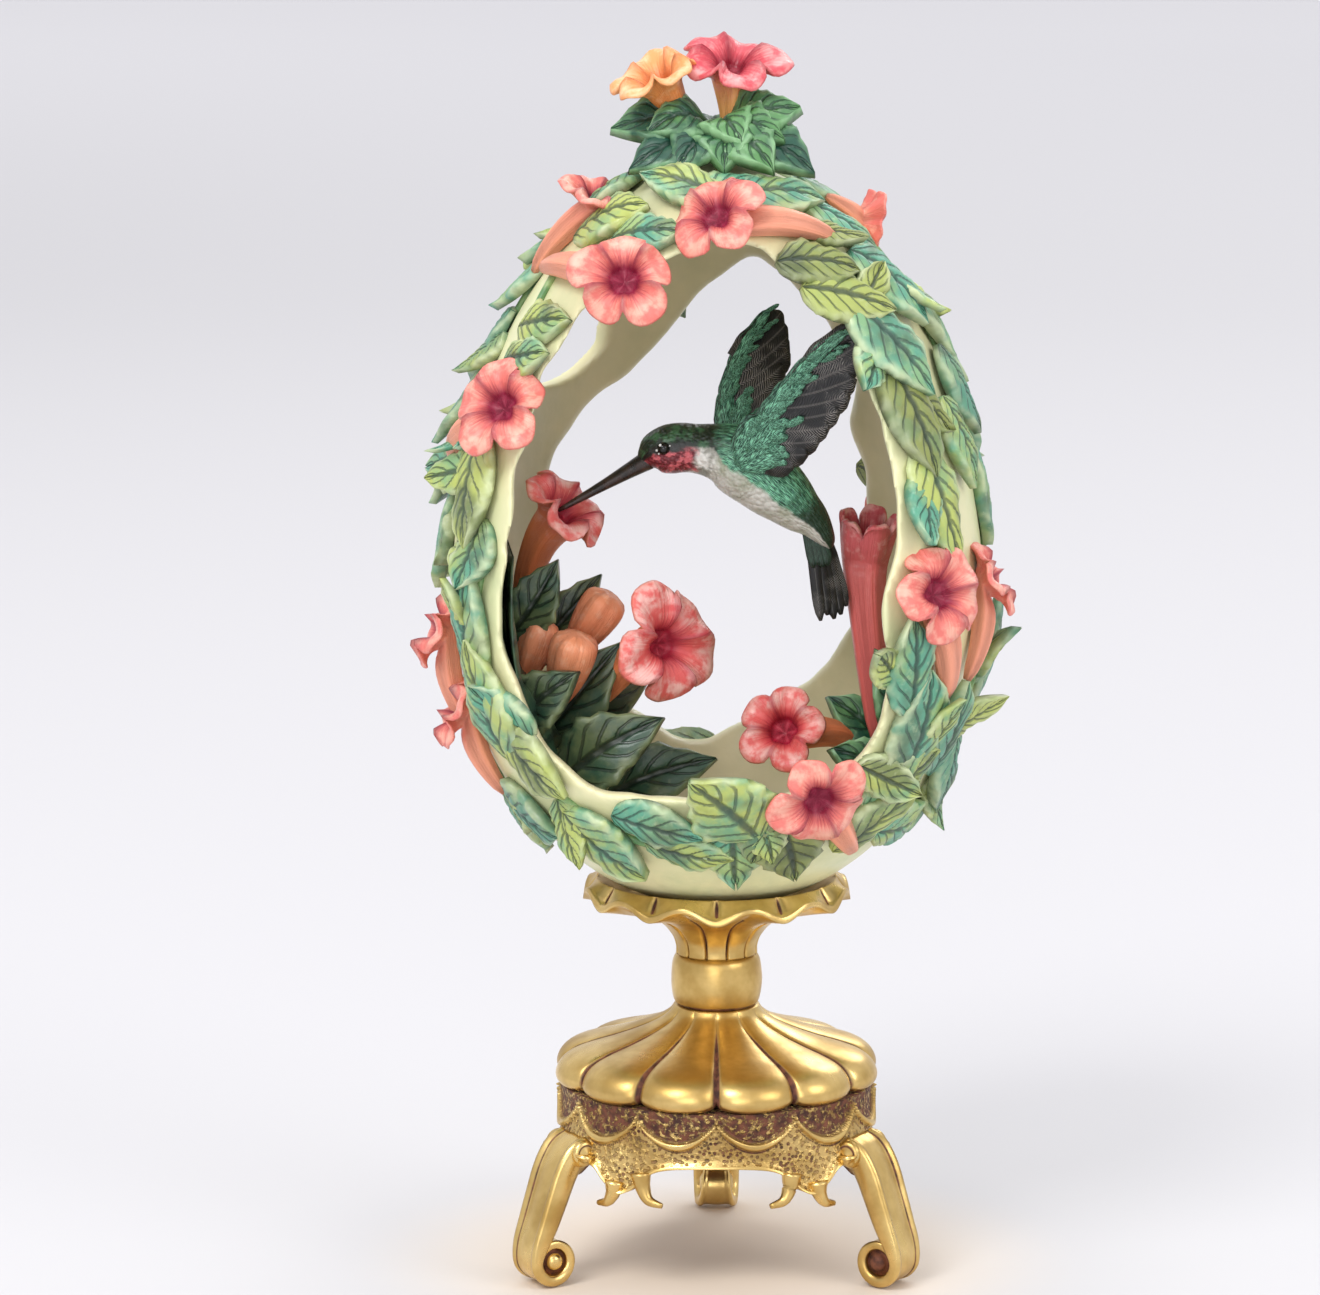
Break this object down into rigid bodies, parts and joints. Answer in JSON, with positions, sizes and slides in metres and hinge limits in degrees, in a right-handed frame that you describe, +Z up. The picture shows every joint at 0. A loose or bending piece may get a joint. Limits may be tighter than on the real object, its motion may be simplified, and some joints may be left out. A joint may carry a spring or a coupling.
{
  "type": "decorative egg on stand",
  "caption": "Openwork egg ornament with relief leaves and trumpet flowers, a feeding hummingbird inside, and a gilt three-legged stand it lifts out of.",
  "frame": {"origin": "on the floor, under the middle of the whole ornament and the axis of the stand", "axes": "+Z up along the egg's axis, -Y out of the front opening, +X to the right as seen from the front"},
  "size_m": [0.079, 0.0615, 0.161],
  "materials": {
    "gilt": "antiqued gilt with dark brown patina in the grooves",
    "gilt_apron": "stippled ground with a reddish brown patina",
    "steel": "plain",
    "shell": "painted resin, satin",
    "leaf": "hand painted resin, teal to lime with darker veins",
    "dark_leaf": "hand painted resin, dark green",
    "flower": "hand painted resin, coral with crimson throats",
    "inner_flower": "hand painted resin, terracotta with a pale dry-brushed coat",
    "bird": "hand painted resin, pearly green above and pale below",
    "bird_dark": "hand painted resin, near black"
  },
  "bodies": {
    "stand": {"cup": "gilt", "collar": "gilt", "skirt": "gilt", "apron": "gilt_apron", "centre_screw": "steel", "screw_washer": "steel", "front_left_leg": "gilt", "front_right_leg": "gilt", "rear_leg": "gilt"},
    "egg": {"egg_shell": "shell", "upper_left_flower": "flower", "left_closed_flowers": "flower", "top_flower": "flower", "left_rib_flower": "flower", "lower_left_flowers": "flower", "right_rib_flower": "flower", "right_side_flower": "flower", "lower_right_flower": "flower", "upper_right_buds": "flower", "back_flower": "flower", "rear_right_flower": "flower", "left_rib_leaves": "leaf", "left_side_leaves": "leaf", "base_leaves": "leaf", "right_rib_leaves": "leaf", "right_side_leaves": "leaf", "top_leaves": "leaf", "back_leaves": "leaf", "crown_orange_flower": "inner_flower", "crown_red_flower": "inner_flower", "crown_leaves": "dark_leaf", "feeding_flower": "inner_flower", "open_flower": "inner_flower", "low_flower": "inner_flower", "tall_flower": "flower", "upper_bud": "inner_flower", "side_bud": "inner_flower", "orange_bud": "inner_flower", "bouquet_leaves": "dark_leaf", "spray_leaves": "dark_leaf", "bird_body": "bird", "bird_beak": "bird_dark", "near_wing": "bird_dark", "far_wing": "bird_dark", "bird_tail": "bird_dark", "bird_eyes": "bird_dark"}
  },
  "joints": [
    {"name": "egg_lift", "type": "slide", "parent": "stand", "child": "egg", "axis": [0, 0, 1], "range_m": [0, 0.06]}
  ]
}
